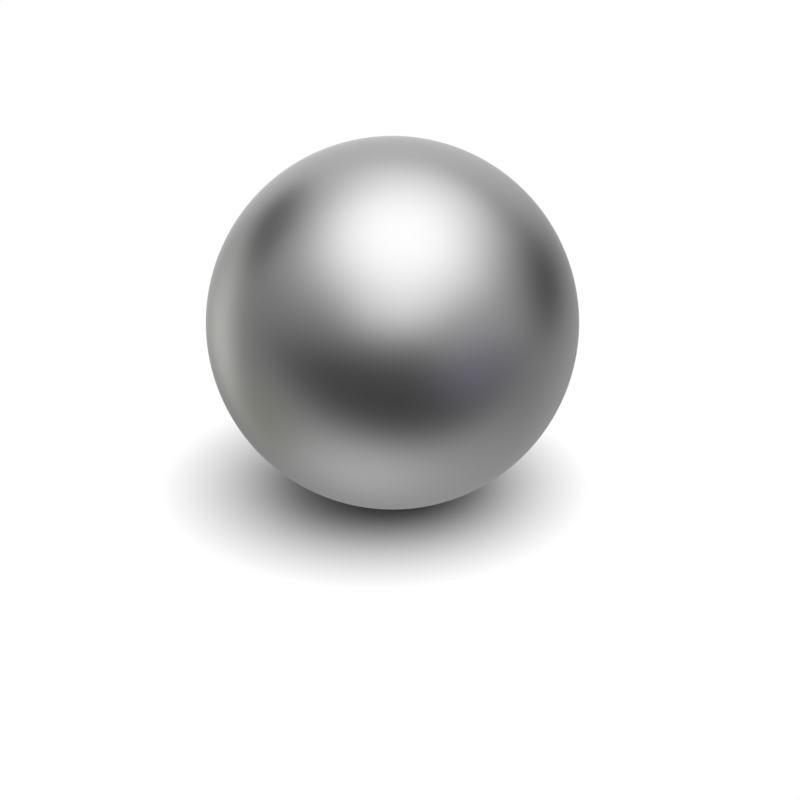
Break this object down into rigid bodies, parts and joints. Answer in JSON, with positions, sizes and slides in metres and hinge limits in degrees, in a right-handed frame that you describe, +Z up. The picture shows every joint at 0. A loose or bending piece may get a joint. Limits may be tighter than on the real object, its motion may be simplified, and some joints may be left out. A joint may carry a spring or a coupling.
{
  "type": "steel ball",
  "caption": "Solid steel ball: a plain ground sphere with a satin finish all over and no flat, bore, seam or marking.",
  "frame": {"origin": "centre of the ball", "axes": "+Z up through the ball's centre, away from what it rests in; +X to the right and +Y to the back, both free, because the ball is alike in every direction"},
  "size_m": [0.0762, 0.0762, 0.0762],
  "materials": {
    "ball_steel": "fine ground and lapped, an even satin with no grain direction"
  },
  "bodies": {
    "root": {"ball": "ball_steel"}
  },
  "joints": []
}
